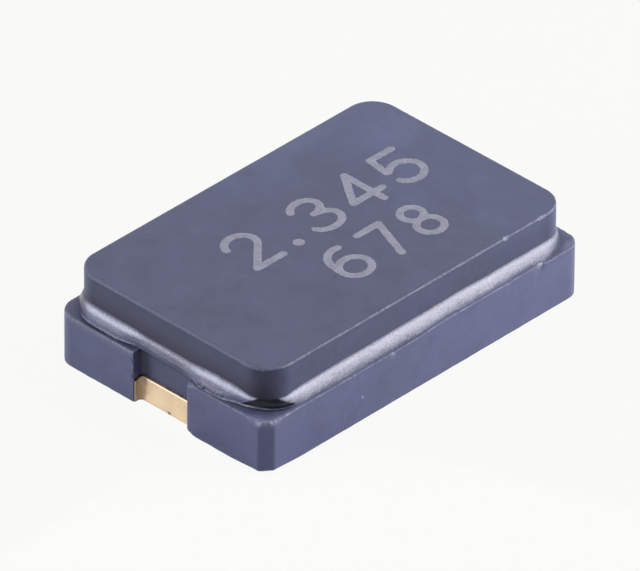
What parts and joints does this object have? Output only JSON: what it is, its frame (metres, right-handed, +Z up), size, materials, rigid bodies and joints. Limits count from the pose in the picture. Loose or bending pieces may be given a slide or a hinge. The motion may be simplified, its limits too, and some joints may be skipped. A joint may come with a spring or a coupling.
{
  "type": "crystal oscillator",
  "caption": "Flat rectangular ceramic package with a stepped lid, a glassy seal line and gold-plated end notches; a quartz plate inside keeps time for a circuit board.",
  "frame": {"origin": "middle of the footprint, on the plane of the solder pads' lower faces", "axes": "+X along the long side of the package, +Y along the short side, +Z up away from the board; the bevelled corner stands at -X, -Y"},
  "size_m": [0.005, 0.0032, 0.0012],
  "materials": {
    "dark_ceramic": "matte",
    "seal_glass": "gloss",
    "gold_plating": "satin",
    "printed_track": "matte",
    "silver_adhesive": "matte",
    "quartz": "polished",
    "silver_film": "satin"
  },
  "bodies": {
    "root": {"ceramic_base": "dark_ceramic", "ceramic_lid": "dark_ceramic", "glass_seal": "seal_glass", "terminal_left": "gold_plating", "terminal_right": "gold_plating", "feed_track_left": "printed_track", "feed_track_right": "printed_track", "carrier_pad_front": "gold_plating", "carrier_pad_back": "gold_plating", "adhesive_dot_front": "silver_adhesive", "adhesive_dot_back": "silver_adhesive", "quartz_plate": "quartz", "upper_electrode": "silver_film", "lower_electrode": "silver_film"}
  },
  "joints": []
}
